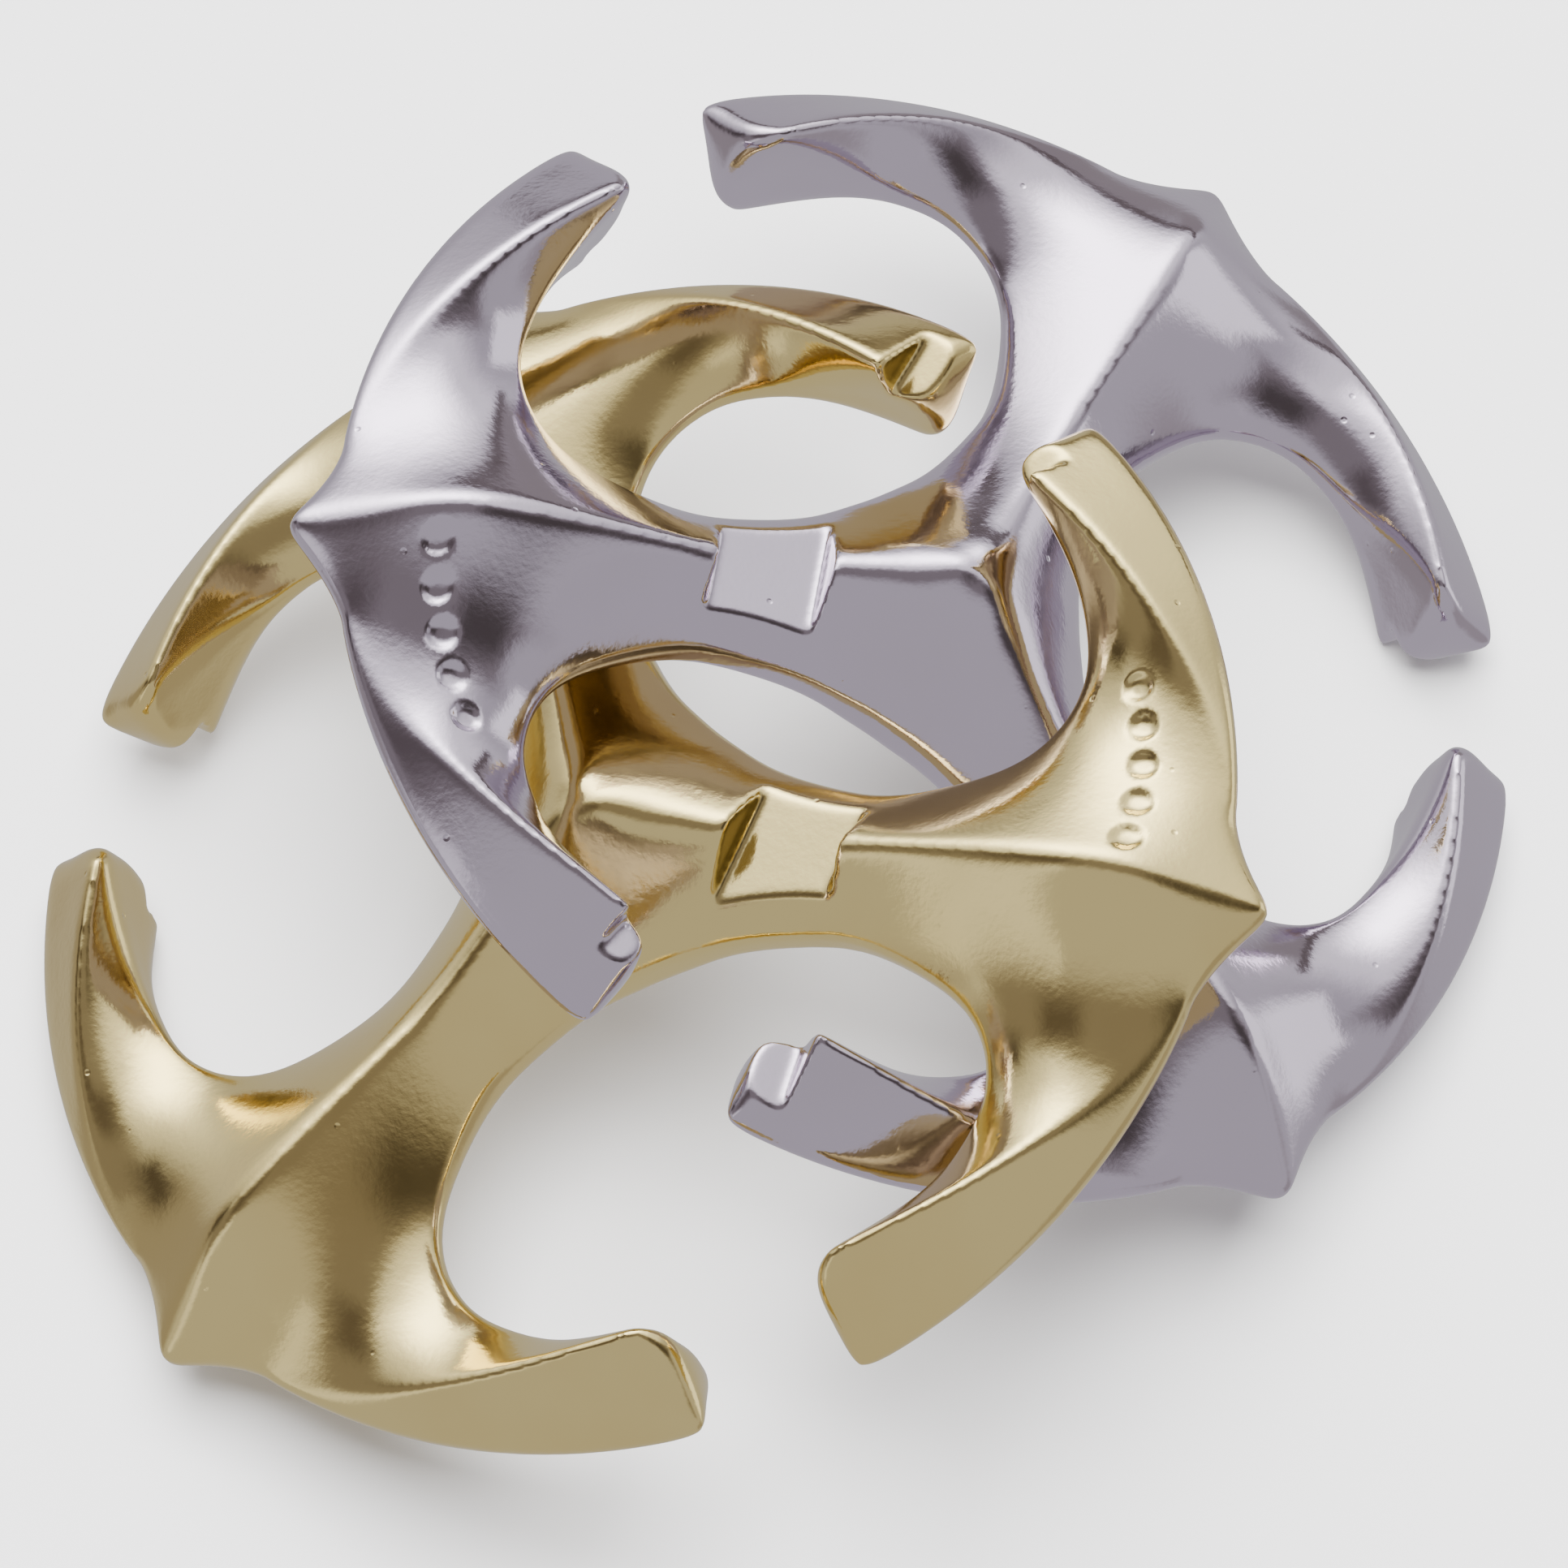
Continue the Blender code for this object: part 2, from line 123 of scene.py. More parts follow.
# The fluke's front ridge at equal steps to the tip, as shares of the tip's width and thickness
ridge_insets = (0.0, 0.19, 0.44, 0.69, 0.89, 1.0)
ridge_heights = (0.1, 0.29, 0.64, 0.87, 1.0, 1.0)
# The hole's edge along the fluke, as shares of its narrowing, of the tip's thickness and of the way
wall_widths = (1.0, 0.62, 0.345, 0.22, 0.146, 0.086, 0.0)
wall_heights = (0.1, 0.1, 0.1, 0.16, 0.33, 0.63, 1.0)
wall_angles = (0.0, 0.105, 0.264, 0.443, 0.588, 0.764, 1.0)
hub_lead = (0.2, 0.05)         # where the hole's edge comes from before it crosses the midway line
crest_power = 1.7              # how sharply the arms' crests rise to the centre
shoulder_power = 1.3           # how the mesh's stations crowd towards the spike

# How the two rotors lie, hooked together on the table
gold_place = (-0.005965, -0.004678, 0.009696)
gold_turn = (7.2, -16.7, -16.0)      # degrees about X, Y and Z
silver_place = (0.006515, 0.004672, 0.010536)
silver_turn = (0.2, -21.3, -178.5)

# The platings: their colour, their darkest colour and how rough they are
gold_colour, gold_shade, gold_roughness = (0.86, 0.705, 0.30, 1), (0.74, 0.56, 0.20, 1), 0.12
nickel_colour, nickel_shade, nickel_roughness = (0.645, 0.58, 0.675, 1), (0.575, 0.515, 0.57, 1), 0.095
tone_scale, tone_detail = 90, 4      # slow change of colour; scales are per metre
tone_edges = (0.45, 0.75)            # noise at which the shade starts and is strongest
tone_strength = 0.5
polish_scale, polish_detail = 400, 3
polish_edges = (0.3, 0.7)
polish_spread = (0.7, 1.4)           # best and worst polish, as shares of the roughness
relief_depth = 0.00002
reliefs = ((220, 2, 1.0), (1500, 2, 0.28), (4200, 3, 0.24))    # scale, detail, share of the depth
pit_scale = 420
pit_edges = (0.025, 0.07)            # a pit's floor and rim, as shares of a cell
pit_share = 0.9                      # of the depth

# The floor, the lamp over it and the camera
floor_half_side = 3.0
floor_drop = 0.0001
floor_colour, floor_roughness = (0.93, 0.93, 0.93, 1), 0.9
lamp_place, lamp_side, lamp_power = (0.05, 0.15, 1.0), 0.9, 34
camera_place = (0.0055, -0.1181, 0.2268)
camera_right, camera_up = (0.99972, 0.0, -0.02374), (0.0112, 0.8817, 0.4716)
lens_mm, sensor_mm = 143.46, 36.0
nearest_seen, furthest_seen = 0.01, 5.0

# The studio, as the metal mirrors it. Each panel has the direction of its middle (azimuth from +Y
# towards +X, then elevation), half its width, half its height and the softness of its edges, all
# in degrees, and then its colour and brightness. A later panel hides an earlier one.
room_colour = (0.585, 0.57, 0.60)
studio_panels = (
    (-4, 45, 43, 32, 17, (1.3, 1.28, 1.32)),        # big softbox behind the object
    (-8, 38, 18, 11, 20, (7.0, 6.9, 7.0)),          # its bright middle
    (-108, 24, 9, 24, 4, (1.0, 0.98, 1.02)),        # strip at the left
    (68, -3, 12, 15, 5, (1.5, 1.48, 1.53)),         # low panel at the right
    (-76, -12, 15, 16, 8, (0.37, 0.34, 0.34)),      # duller patches below the horizon
    (112, -20, 16, 16, 8, (0.42, 0.39, 0.40)),
    (22, -10, 14, 9, 6, (0.34, 0.31, 0.31)),
    (-90, 79, 13, 72, 9, (0.26, 0.235, 0.24)),      # dark gap from side to side overhead
    (98, 50, 8, 14, 12, (0.09, 0.078, 0.075)),      # where it is darkest
    (-88, 52, 6, 12, 11, (0.13, 0.11, 0.11)),
    (-72, 9, 5, 10, 9, (0.09, 0.075, 0.075)),
    (14, 2, 28, 2.5, 2.5, (0.15, 0.125, 0.12)),     # dark line of the horizon
)


def smooth_through(xs, ys, x):
    """Monotone cubic through the points (xs, ys), read at x."""
    xs, ys, x = np.asarray(xs, float), np.asarray(ys, float), np.asarray(x, float)
    h = np.diff(xs)
    d = np.diff(ys) / h
    m = np.zeros(len(xs))
    for k in range(1, len(xs) - 1):
        if d[k - 1] * d[k] > 0:
            w1, w2 = 2 * h[k] + h[k - 1], h[k] + 2 * h[k - 1]
            m[k] = (w1 + w2) / (w1 / d[k - 1] + w2 / d[k])
    m[0], m[-1] = d[0], d[-1]
    k = np.clip(np.searchsorted(xs, x) - 1, 0, len(h) - 1)
    t = (x - xs[k]) / h[k]
    return (ys[k] * (1 + 2 * t) * (1 - t) ** 2 + h[k] * m[k] * t * (1 - t) ** 2
            + ys[k + 1] * t * t * (3 - 2 * t) - h[k] * m[k + 1] * t * t * (1 - t))


def crest_height(x):
    """Height of the ridge along the front of an arm, at distance x from the centre."""
    spike_reach = ring_radius + spike_length
    shoulder = ring_radius - shoulder_inset
    run = spike_reach - shoulder
    xs = [neck_reach, shoulder] + [shoulder + s * run for s, _ in spike_profile] + [spike_reach]
    zs = ([neck_half_thickness, shoulder_half_thickness]
          + [share * shoulder_half_thickness for _, share in spike_profile] + [edge_half_thickness])
    rise = (hub_half_thickness - neck_half_thickness) * np.clip(1 - x / neck_reach, 0, 1) ** crest_power
    return np.where(x < neck_reach, neck_half_thickness + rise, smooth_through(xs, zs, x))


def rim_radius(angle):
    """Radius of the outer edge at an angle from the arm, in degrees."""
    return ring_radius + spike_length * np.clip(1 - angle / flare_angle, 0, 1) ** 2


def polar(radius, angle):
    """Place (x, y) at a radius and an angle in degrees."""
    return radius * np.cos(np.radians(angle)), radius * np.sin(np.radians(angle))


def front_ridge(share):
    """Point of the fluke's front ridge, a share of the way from its start to the tip."""
    angle = ridge_angle + share * (tip_angle - ridge_angle)
    knots = np.linspace(0, 1, len(ridge_insets))
    inset = tip_width * smooth_through(knots, ridge_insets, share)
    x, y = polar(rim_radius(angle) - inset, angle)
    z = tip_half_thickness * smooth_through(knots, ridge_heights, share)
    return x, y, np.maximum(z, edge_half_thickness)


def hole_outline():
    """The edge of a hole from midway between two arms to the tip, as points (x, y, height)."""
    hx, hy = polar(hub_radius, 60.0)
    before = (hx - hub_lead[0] * hub_radius, hy + hub_lead[1] * hub_radius)
    points = [before, (hx, hy), (hub_corner_reach, hub_corner_half_width),
              (neck_start * neck_reach, neck_half_width + neck_flare),
              (neck_end * neck_reach, neck_half_width)]
    heights = [hub_edge_half_thickness] * 2 + [neck_edge_half_thickness] * 3
    for share, width_share, height_share in zip(wall_angles, wall_widths, wall_heights):
        angle = root_angle + share * (tip_angle - root_angle)
        width = tip_width + width_share * (root_width - tip_width)
        points.append(polar(ring_radius - width, angle))
        heights.append(max(height_share * tip_half_thickness, root_edge_half_thickness))
    return np.array(points), np.array(heights)


def hole_edge():
    """The hole's edge as a function: a share of its length gives a point (x, y, height)."""
    points, heights = hole_outline()
    spans = np.sqrt(np.linalg.norm(np.diff(points, axis=0), axis=1))
    knots = np.concatenate([[0], np.cumsum(spans)])
    t = np.linspace(knots[1], knots[-1], outline_samples)
    slopes = np.gradient(points, knots, axis=0)
    k = np.clip(np.searchsorted(knots, t) - 1, 0, len(knots) - 2)
    h = (knots[k + 1] - knots[k])[:, None]
    s = (t - knots[k])[:, None] / h
    xy = (points[k] * (1 + 2 * s) * (1 - s) ** 2 + h * slopes[k] * s * (1 - s) ** 2
          + points[k + 1] * s * s * (3 - 2 * s) - h * slopes[k + 1] * s * s * (1 - s))
    curve = np.column_stack([xy, smooth_through(knots, heights, t)])
    length = np.concatenate([[0], np.cumsum(np.linalg.norm(np.diff(xy, axis=0), axis=1))])
    length /= length[-1]

    def at(share):
        return np.array([np.interp(share, length, column) for column in curve.T])

    return at, curve, length


def guides():
    """Outer and inner guide of the front face of half an arm, station by station."""
    at, curve, length = hole_edge()
    angle = np.degrees(np.arctan2(curve[:, 1], curve[:, 0]))
    turned = np.argmax(curve[:, 0] > neck_end * neck_reach)
    past_neck = np.arange(len(curve)) > turned

    def share_at(wall_angle):
        """Share of the edge's length where it passes an angle given as in wall_angles."""
        wanted = root_angle + wall_angle * (tip_angle - root_angle)
        return length[np.argmax(past_neck & (angle > wanted))]

    neck, spike, flare = length[turned], share_at(wall_angles[1]), share_at(wall_angles[2])
    outer, inner = [], []
    # The hub, where the inner guide runs along the line midway between two arms
    for step in range(hub_steps):
        x = curve[0, 0] * step / hub_steps
        outer.append((x, 0.0, float(crest_height(x))))
        inner.append((x, x * math.tan(math.radians(60)), float(crest_height(x))))
    # The thin part of the arm
    for step in range(arm_steps):
        point = at(neck * step / arm_steps)
        inner.append(point)
        outer.append((point[0], 0.0, float(crest_height(point[0]))))
    # The crest runs on to the spike's point, the hole's edge turns into the fluke
    start, reach = at(neck)[0], ring_radius + spike_length
    for step in range(shoulder_steps):
        t = step / shoulder_steps
        x = start + (reach - start) * (1 - (1 - t) ** shoulder_power)
        outer.append((x, 0.0, float(crest_height(x))))
        inner.append(at(neck + t * (spike - neck)))
    # The flare beside the spike
    for step in range(flare_steps):
        t = step / flare_steps
        outer.append((*polar(rim_radius(ridge_angle * t), ridge_angle * t), edge_half_thickness))
        inner.append(at(spike + t * (flare - spike)))
    # The fluke, along its front ridge
    for step in range(fluke_steps + 1):
        t = step / fluke_steps
        outer.append(front_ridge(t))
        inner.append(at(flare + t * (1 - flare)))
    inner[-1] = outer[-1]
    return np.array(outer, float), np.array(inner, float)


def front_grid():
    """Grid of points of the front face of half an arm: stations along it, rows across it."""
    outer, inner = guides()
    share = np.linspace(0, 1, row_count + 1)[None, :, None]
    grid = outer[:, None] * (1 - share) + inner[:, None] * share
    stretch_skin(grid)
    return grid


def stretch_skin(grid):
    """Gives the grid the heights of a skin stretched over its guides and blown out a little.

    The skin is free along the line midway between two arms, where its mirror image goes on.
    """
    stations, rows = grid.shape[:2]
    number = np.arange(stations * rows).reshape(stations, rows)
    held = np.zeros((stations, rows), bool)
    held[:, 0] = held[0] = held[-1] = held[hub_steps:, -1] = True
    a, b, c, d = number[:-1, :-1], number[1:, :-1], number[1:, 1:], number[:-1, 1:]
    triangles = np.concatenate([np.stack(t, -1).reshape(-1, 3)
                                for t in ((a, b, c), (a, c, d), (a, b, d), (b, c, d))])
    plan = grid[..., :2].reshape(-1, 2)
    corners = plan[triangles]
    edges = np.roll(corners, -1, axis=1) - np.roll(corners, 1, axis=1)
    twice_area = np.abs(edges[:, 0, 0] * edges[:, 1, 1] - edges[:, 0, 1] * edges[:, 1, 0])
    real = twice_area > smallest_twice_area
    triangles, edges, twice_area = triangles[real], edges[real], twice_area[real]
    stiffness = np.zeros((plan.shape[0],) * 2)
    load = np.zeros(plan.shape[0])
    for i in range(3):
        np.add.at(load, triangles[:, i], fullness * twice_area / 6)
        for j in range(3):
            weight = (edges[:, i] * edges[:, j]).sum(axis=1) / (2 * twice_area)
            np.add.at(stiffness, (triangles[:, i], triangles[:, j]), weight)
    height = grid[..., 2].reshape(-1).copy()
    held = held.reshape(-1)
    free = ~held
    pull = load[free] - stiffness[np.ix_(free, held)] @ height[held]
    height[free] = np.linalg.solve(stiffness[np.ix_(free, free)], pull)
    grid[..., 2] = height.reshape(stations, rows)


class Shell:
    """Faces of one rotor, gathered patch by patch."""

    def __init__(self):
        self.faces = []

    def add(self, loop):
        """One face, given as its corner points in order."""
        clean = [p for k, p in enumerate(loop) if np.linalg.norm(p - loop[k - 1]) > smallest_edge]
        if len(clean) > 2:
            self.faces.append([np.asarray(p, float) for p in clean])

    def add_grid(self, grid):
        """Two triangles for each cell of a grid of points."""
        for i in range(len(grid) - 1):
            for j in range(len(grid[0]) - 1):
                quad = [grid[i][j], grid[i + 1][j], grid[i + 1][j + 1], grid[i][j + 1]]
                self.add([quad[0], quad[1], quad[2]])
                self.add([quad[0], quad[2], quad[3]])


def quarter_faces():
    """Faces of the front, counter-clockwise quarter of one arm, pointing out."""
    shell = Shell()
    grid = front_grid()
    first_fluke = len(grid) - 1 - fluke_steps
    first_rim = first_fluke - flare_steps
    shell.add_grid([list(row) for row in grid])
    # The outer face of the fluke, from its front ridge down to the rim
    strip = []
    rim = [grid[k][0] for k in range(first_rim, first_fluke + 1)]
    for step in range(fluke_steps + 1):
        angle = ridge_angle + (tip_angle - ridge_angle) * step / fluke_steps
        x, y = polar(float(rim_radius(angle)), angle)
        foot = np.array([x, y, edge_half_thickness])
        top = grid[first_fluke + step][0]
        if step == 0:
            foot = top
        else:
            rim.append(foot)
        strip.append([foot + (top - foot) * k / strip_rows for k in range(strip_rows + 1)])
    shell.add_grid(strip)
    # The blunt band along the rim
    flat = np.array([1, 1, 0])
    shell.add_grid([[p * flat, p] for p in rim])
    # The wall of the hole, in rows at the heights of the end face's rows
    end = strip[-1][::-1] + [rim[-1] * flat]
    shares = [p[2] / end[0][2] for p in end]
    wall = [[p * np.array([1, 1, share]) for share in shares] for p in grid[hub_steps:, -1]]
    shell.add_grid(wall)
    # The end face of the fluke
    across = np.linspace(0, 1, end_columns + 1)
    shell.add_grid([[a + (b - a) * share for share in across] for a, b in zip(end, wall[-1])])
    return shell.faces


def rotor_faces():
    """Faces of a whole rotor: the quarter mirrored to the other side and to the back, three times."""
    faces = []
    quarter = quarter_faces()
    for angle in arm_angles.values():
        c, s = math.cos(math.radians(angle)), math.sin(math.radians(angle))
        turn = np.array([[c, -s, 0], [s, c, 0], [0, 0, 1]])
        for side in (1, -1):
            for front in (1, -1):
                for loop in quarter:
                    points = [turn @ (p * np.array([1, side, front])) for p in loop]
                    faces.append(points if side * front > 0 else points[::-1])
    return faces


def box_mesh(name, size, corner, angle, shift=(0, 0, 0)):
    """A cutter's box, in a frame turned about Z by angle, in degrees, then shifted."""
    mesh = bpy.data.meshes.new(name)
    shape = bmesh.new()
    bmesh.ops.create_cube(shape, size=1.0)
    bmesh.ops.translate(shape, verts=shape.verts, vec=(0.5, 0.5, 0.5))
    bmesh.ops.scale(shape, verts=shape.verts, vec=size)
    bmesh.ops.translate(shape, verts=shape.verts, vec=corner)
    bmesh.ops.rotate(shape, verts=shape.verts, cent=(0, 0, 0),
                     matrix=Matrix.Rotation(math.radians(angle), 3, "Z"))
    bmesh.ops.translate(shape, verts=shape.verts, vec=shift)
    shape.to_mesh(mesh)
    shape.free()
    return mesh


def cutter_meshes():
    """The boxes that cut the slot and the notches."""
    width = slot_overreach * 2 * neck_half_width
    meshes = [box_mesh("slot", (slot_length, width, 2 * hub_half_thickness),
                       (-slot_length / 2, -width / 2, slot_floor_height), -slot_skew,
                       (slot_middle_reach, 0, 0))]
    notches = [(arm, side, 1, floor) for (arm, side), floor in front_notch_floors.items()]
    notches += [(arm, side, -1, back_notch_floor) for arm, side in back_notches]
    inner = ring_radius - tip_width - clearance_past_tip
    radial = tip_width + 2 * clearance_past_tip
    length = ring_radius * math.radians(notch_angle) + clearance_past_tip
    height = 2 * tip_half_thickness
    for arm, side, front, floor in notches:
        corner = (inner, 0.0 if side > 0 else -length, floor if front > 0 else -floor - height)
        angle = arm_angles[arm] + side * (tip_angle - notch_angle)
        meshes.append(box_mesh("notch", (radial, length, height), corner, angle))
    return meshes


def points_of(mesh):
    """The mesh's vertices as an array of places."""
    points = np.empty(len(mesh.vertices) * 3, np.float32)
    mesh.vertices.foreach_get("co", points)
    return points.reshape(-1, 3).astype(float)


def press_dimples(mesh):
    """Presses a row of round dimples into the front, across the first arm."""
    points = points_of(mesh)
    for angle in np.linspace(*dimple_angles, dimple_count):
        x, y = polar(dimple_reach, angle)
        distance = np.hypot(points[:, 0] - x, points[:, 1] - y) / dimple_radius
        inside = (distance < 1) & (points[:, 2] > 0)
        points[inside, 2] -= dimple_depth * (1 - distance[inside] ** 4) ** 2
    mesh.vertices.foreach_set("co", points.astype(np.float32).reshape(-1))
    mesh.update()


def round_edges(mesh):
    """Rounds all edges by the same radius, however the mesh is spaced, and the fluke ends more."""
    points = points_of(mesh)
    edges = np.empty(len(mesh.edges) * 2, np.int32)
    mesh.edges.foreach_get("vertices", edges)
    a, b = edges.reshape(-1, 2).T
    count = np.bincount(edges, minlength=len(points))[:, None]

    def gather(values_a, values_b):
        """Sum over each vertex's edges."""
        return np.column_stack([np.bincount(a, values_a[:, k], len(points))
                                + np.bincount(b, values_b[:, k], len(points))
                                for k in range(values_a.shape[1])])

    length = np.linalg.norm(points[a] - points[b], axis=1)[:, None]
    spacing = gather(length, length) / count
    share = rounding_share * np.minimum(1, (rounding_step / spacing) ** 2)
    share *= np.clip(np.abs(points[:, 2:]) / thin_edge_height, thin_edge_share, 1)
    angle = np.degrees(np.arctan2(points[:, 1], points[:, 0]))
    past = np.abs((angle + 60) % 120 - 60) - tip_angle
    near_end = np.clip(1 + past / end_rounding_angle, 0, 1)
    reach = np.hypot(points[:, 0], points[:, 1])
    near_end[reach < ring_radius - end_rounding_depth * tip_width] = 0
    for turn in range(rounding_passes + end_rounding_passes):
        weight = share if turn < rounding_passes else share * near_end[:, None]
        points += weight * (gather(points[b], points[a]) / count - points)
    mesh.vertices.foreach_set("co", points.astype(np.float32).reshape(-1))
    mesh.update()


def casting_mesh():
    """One rotor as a fine mesh with rounded edges, in its own frame, in metres."""
    mesh = bpy.data.meshes.new("casting")
    shape = bmesh.new()
    for loop in rotor_faces():
        shape.faces.new([shape.verts.new(p) for p in loop])
    bmesh.ops.remove_doubles(shape, verts=shape.verts, dist=merge_distance)
    bmesh.ops.dissolve_degenerate(shape, edges=shape.edges, dist=smallest_edge)
    bmesh.ops.recalc_face_normals(shape, faces=shape.faces)
    shape.to_mesh(mesh)
    shape.free()
    round_edges(mesh)
    mesh.transform(Matrix.Scale(mm_per_metre, 4))
    thing = bpy.data.objects.new("casting_work", mesh)
    bpy.context.scene.collection.objects.link(thing)
    cutters = []
    for data in cutter_meshes():
        data.transform(Matrix.Scale(mm_per_metre, 4))
        box = bpy.data.objects.new("cutter", data)
        bpy.context.scene.collection.objects.link(box)
        box.hide_render = True
        cutters.append(box)
        boolean = thing.modifiers.new("cut", "BOOLEAN")
        boolean.operation = "DIFFERENCE"
        boolean.solver = "EXACT"
        boolean.object = box
    remesh = thing.modifiers.new("remesh", "REMESH")
    remesh.mode = "VOXEL"
    remesh.voxel_size = voxel_mm
    rounding = thing.modifiers.new("rounding", "SMOOTH")
    rounding.factor = rounding_share
    rounding.iterations = last_rounding_passes
    thinning = thing.modifiers.new("thinning", "DECIMATE")
    thinning.ratio = kept_share
    bpy.context.view_layer.update()
    done = bpy.data.meshes.new_from_object(thing.evaluated_get(bpy.context.evaluated_depsgraph_get()))
    for item in cutters + [thing]:
        bpy.data.objects.remove(item, do_unlink=True)
    done.transform(Matrix.Scale(1 / mm_per_metre, 4))
    press_dimples(done)
    done.shade_smooth()
    return done


def plating(name, colour, shade, roughness):
    """A plated casting: faint waves, fine grain, small pits and a slightly uneven polish."""
    material = bpy.data.materials.new(name)
    material.use_nodes = True
    nodes, links = material.node_tree.nodes, material.node_tree.links
    shader = nodes["Principled BSDF"]
    shader.inputs["Metallic"].default_value = 1.0
    where = nodes.new("ShaderNodeTexCoord").outputs["Object"]

    def noise(scale, detail):
        """Noise that is fixed to the object."""
        node = nodes.new("ShaderNodeTexNoise")
        node.inputs["Scale"].default_value = scale
        node.inputs["Detail"].default_value = detail
        links.new(where, node.inputs["Vector"])
        return node.outputs["Fac"]

    def spread(value, edges, low, high):
        """The value's stretch between two edges, spread from low to high."""
        node = nodes.new("ShaderNodeMapRange")
        node.inputs["From Min"].default_value, node.inputs["From Max"].default_value = edges
        node.inputs["To Min"].default_value = low
        node.inputs["To Max"].default_value = high
        links.new(value, node.inputs["Value"])
        return node

    mix = nodes.new("ShaderNodeMix")
    mix.data_type = "RGBA"
    mix.inputs[6].default_value = colour
    mix.inputs[7].default_value = shade
    tone = spread(noise(tone_scale, tone_detail), tone_edges, 0.0, tone_strength)
    links.new(tone.outputs["Result"], mix.inputs[0])
    links.new(mix.outputs[2], shader.inputs["Base Color"])

    best, worst = polish_spread
    polish = spread(noise(polish_scale, polish_detail), polish_edges, roughness * best, roughness * worst)
    links.new(polish.outputs["Result"], shader.inputs["Roughness"])

    # A pit in the middle of each cell of a coarse pattern that comes near enough to the surface
    cells = nodes.new("ShaderNodeTexVoronoi")
    cells.inputs["Scale"].default_value = pit_scale
    links.new(where, cells.inputs["Vector"])
    pits = spread(cells.outputs["Distance"], pit_edges, 0.0, 1.0)
    pits.interpolation_type = "SMOOTHSTEP"

    heights = [(noise(scale, detail), relief_depth * share) for scale, detail, share in reliefs]
    heights.append((pits.outputs["Result"], relief_depth * pit_share))
    normal = None
    for height, depth in heights:
        bump = nodes.new("ShaderNodeBump")
        bump.inputs["Strength"].default_value = 1.0
        bump.inputs["Distance"].default_value = depth
        links.new(height, bump.inputs["Height"])
        if normal:
            links.new(normal, bump.inputs["Normal"])
        normal = bump.outputs["Normal"]
    links.new(normal, shader.inputs["Normal"])
    return material


def add_rotor(name, node, body, mesh, material, place, turn):
    """Puts a casting where its CAD node lies, in the node's place."""
    mesh.transform(Matrix.LocRotScale(Vector(place), Euler([math.radians(a) for a in turn]), None))
    mesh.materials.append(material)
    rotor = bpy.data.objects.new(name, mesh)
    bpy.context.scene.collection.objects.link(rotor)
    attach(rotor, body)
    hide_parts(node)


def add_floor():
    """A plain pale floor, which the metal doesn't mirror."""
    mesh = bpy.data.meshes.new("floor")
    side = floor_half_side
    mesh.from_pydata([(-side, -side, 0), (side, -side, 0), (side, side, 0), (-side, side, 0)],
                     [], [(0, 1, 2, 3)])
    floor = bpy.data.objects.new("floor", mesh)
    bpy.context.scene.collection.objects.link(floor)
    floor.location.z = -floor_drop
    material = bpy.data.materials.new("pale_floor")
    material.use_nodes = True
    shader = material.node_tree.nodes["Principled BSDF"]
    shader.inputs["Base Color"].default_value = floor_colour
    shader.inputs["Roughness"].default_value = floor_roughness
    mesh.materials.append(material)
    floor.visible_glossy = False


def add_lamp():
    """A wide soft lamp over the object, which the metal doesn't mirror either."""
    data = bpy.data.lights.new("ceiling_light", "AREA")
    data.shape = "RECTANGLE"
    data.size = data.size_y = lamp_side
    data.energy = lamp_power
    lamp = bpy.data.objects.new("ceiling_light", data)
    bpy.context.scene.collection.objects.link(lamp)
    lamp.location = lamp_place
    lamp.rotation_euler = (-Vector(lamp_place)).to_track_quat("-Z", "Y").to_euler()
    lamp.visible_glossy = False


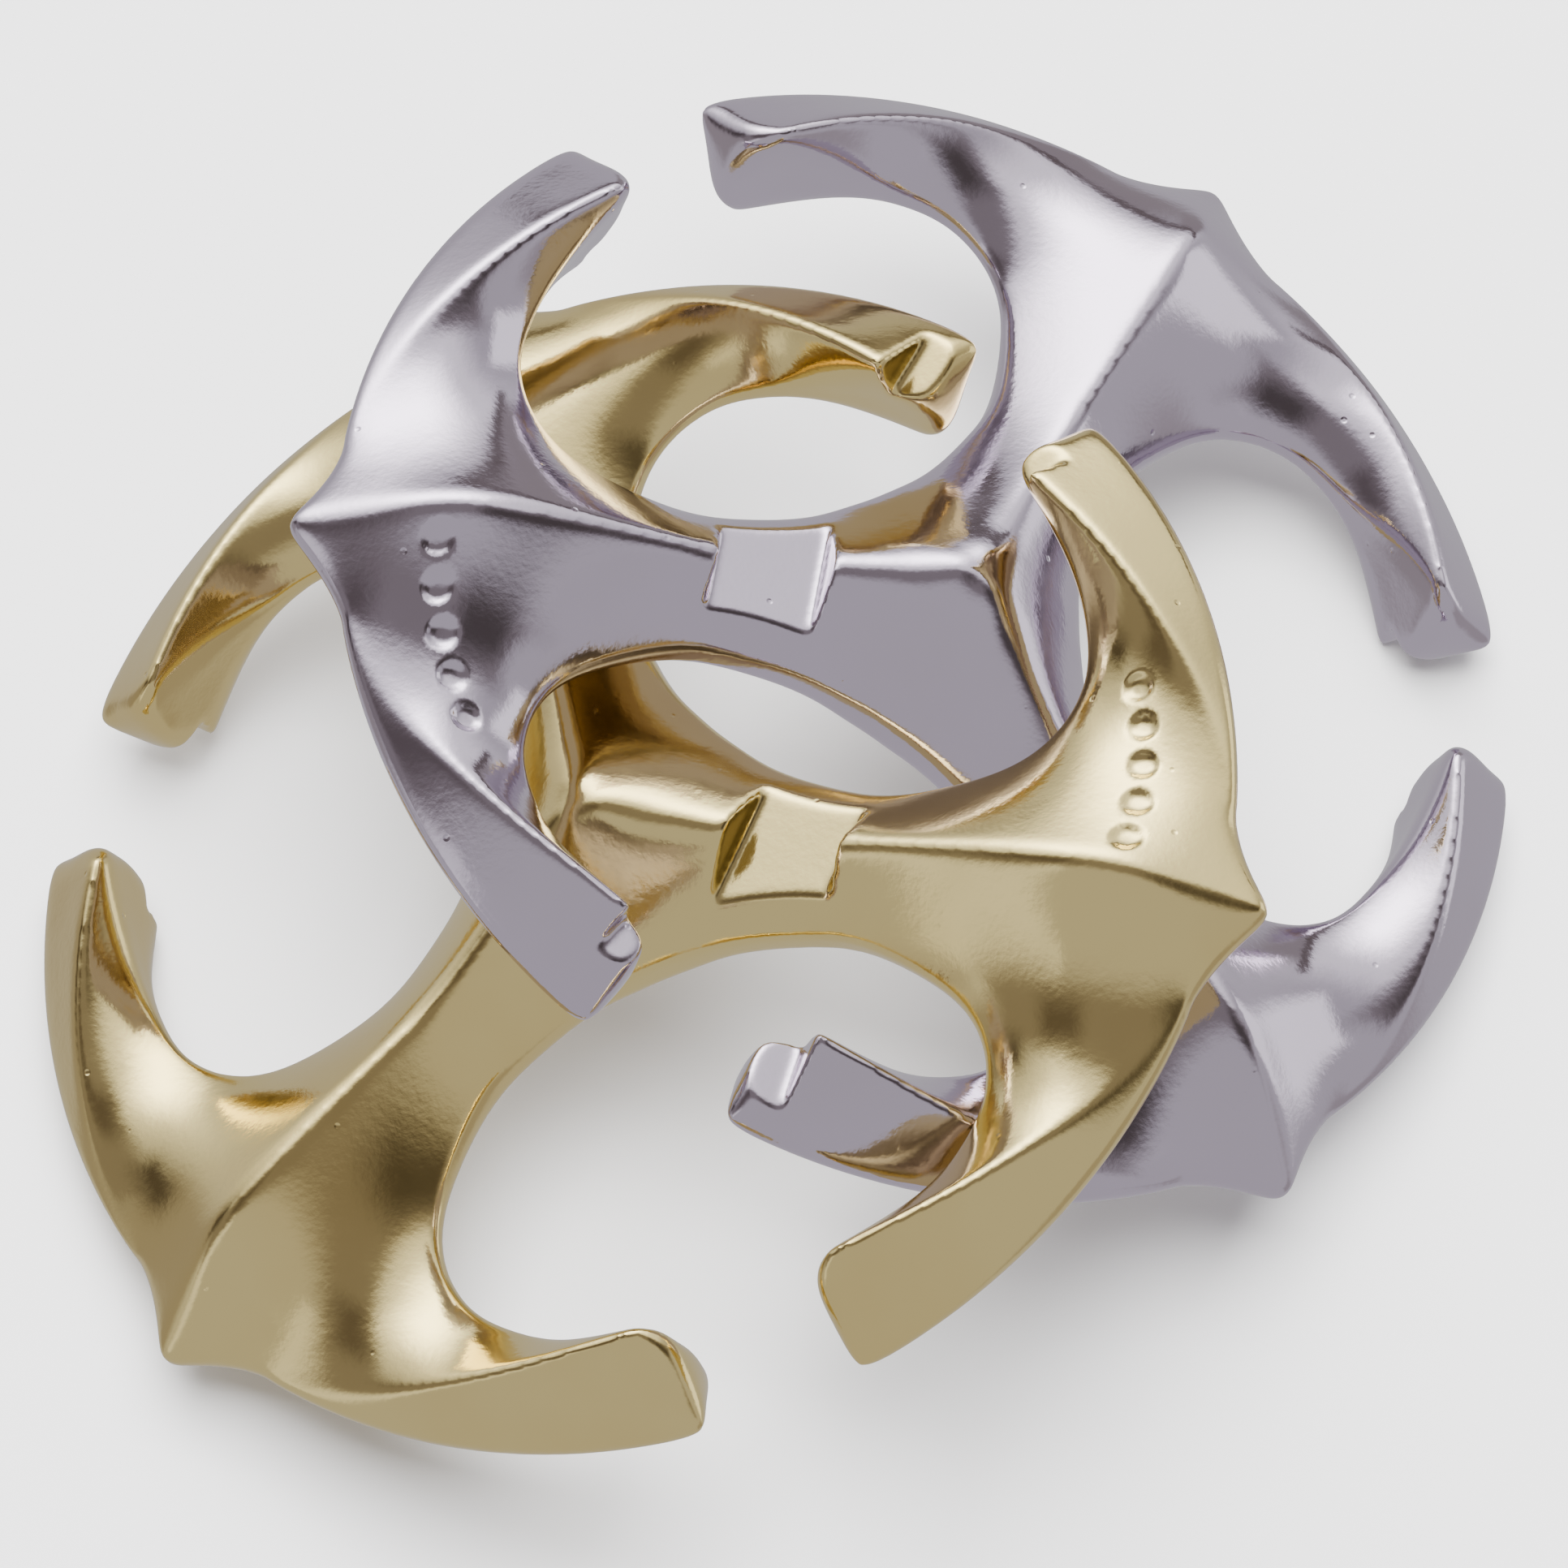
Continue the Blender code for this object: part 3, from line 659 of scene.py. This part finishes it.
def add_world():
    """A pale room with soft panels and dark gaps between them, for the metal to mirror."""
    world = bpy.data.worlds.new("studio")
    bpy.context.scene.world = world
    world.use_nodes = True
    nodes, links = world.node_tree.nodes, world.node_tree.links
    direction = nodes.new("ShaderNodeTexCoord").outputs["Generated"]

    def math_node(operation, first, second):
        node = nodes.new("ShaderNodeMath")
        node.operation = operation
        links.new(first, node.inputs[0])
        if isinstance(second, float):
            node.inputs[1].default_value = second
        else:
            links.new(second, node.inputs[1])
        return node.outputs["Value"]

    def along(axis):
        """How far the direction leans along an axis."""
        node = nodes.new("ShaderNodeVectorMath")
        node.operation = "DOT_PRODUCT"
        node.inputs[1].default_value = axis
        links.new(direction, node.inputs[0])
        return node.outputs["Value"]

    def within(value, half, softness):
        """1 while the lean is well under half, in degrees, and 0 past half and the softness."""
        edge = nodes.new("ShaderNodeMapRange")
        edge.interpolation_type = "SMOOTHSTEP"
        edge.inputs["From Min"].default_value = math.sin(math.radians(min(half + softness, 90)))
        edge.inputs["From Max"].default_value = math.sin(math.radians(half - softness / 2))
        links.new(math_node("ABSOLUTE", value, 0.0), edge.inputs["Value"])
        return edge.outputs["Result"]

    colour = None
    for azimuth, elevation, half_width, half_height, softness, light in studio_panels:
        toward = Vector((0, 1, 0))
        toward.rotate(Euler((math.radians(elevation), 0, -math.radians(azimuth))))
        side = Vector((0, 0, 1)).cross(toward).normalized()
        up = toward.cross(side)
        inside = math_node("MULTIPLY", within(along(side), half_width, softness),
                           within(along(up), half_height, softness))
        inside = math_node("MULTIPLY", inside, math_node("GREATER_THAN", along(toward), 0.0))
        mix = nodes.new("ShaderNodeMix")
        mix.data_type = "RGBA"
        if colour:
            links.new(colour, mix.inputs[6])
        else:
            mix.inputs[6].default_value = (*room_colour, 1)
        mix.inputs[7].default_value = (*light, 1)
        links.new(inside, mix.inputs[0])
        colour = mix.outputs[2]
    links.new(colour, nodes["Background"].inputs["Color"])


def add_camera():
    """The camera, turned so that its own right and up are the ones given."""
    data = bpy.data.cameras.new("camera")
    data.lens, data.sensor_width = lens_mm, sensor_mm
    data.clip_start, data.clip_end = nearest_seen, furthest_seen
    camera = bpy.data.objects.new("camera", data)
    bpy.context.scene.collection.objects.link(camera)
    right, up = Vector(camera_right), Vector(camera_up)
    turn = Matrix((right, up, right.cross(up))).transposed().to_4x4()
    camera.matrix_world = Matrix.Translation(camera_place) @ turn
    bpy.context.scene.camera = camera


gold_look = plating("gold_plating", gold_colour, gold_shade, gold_roughness)
nickel_look = plating("nickel_plating", nickel_colour, nickel_shade, nickel_roughness)
casting = casting_mesh()
add_rotor("gold_casting", "gold_rotor", "gold", casting.copy(), gold_look, gold_place, gold_turn)
add_rotor("silver_casting", "silver_rotor", "silver", casting.copy(), nickel_look, silver_place,
          silver_turn)
add_floor()
add_world()
add_lamp()
add_camera()
